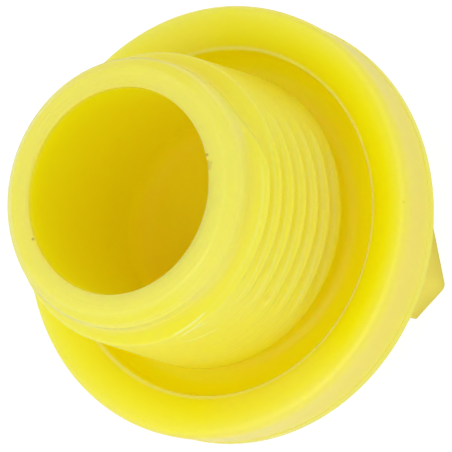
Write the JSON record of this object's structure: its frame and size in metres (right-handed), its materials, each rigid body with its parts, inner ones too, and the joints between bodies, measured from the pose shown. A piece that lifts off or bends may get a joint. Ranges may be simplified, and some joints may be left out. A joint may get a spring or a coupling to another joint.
{
  "type": "screw plug",
  "caption": "Moulded plastic screw plug with a hollow G 3/8 threaded shank, a round flange with a rounded rim, and a slotted hexagon head.",
  "frame": {"origin": "centre of the end face of the hexagon head, on which the plug stands", "axes": "+Z along the plug's axis towards the open mouth of the shank, +X along the slot, square to a pair of the head's flats"},
  "size_m": [0.0246, 0.0246, 0.0209],
  "materials": {
    "yellow_polyethylene": "soft gloss, slightly translucent moulded polyethylene"
  },
  "bodies": {
    "root": {"screw_plug": "yellow_polyethylene"}
  },
  "joints": []
}
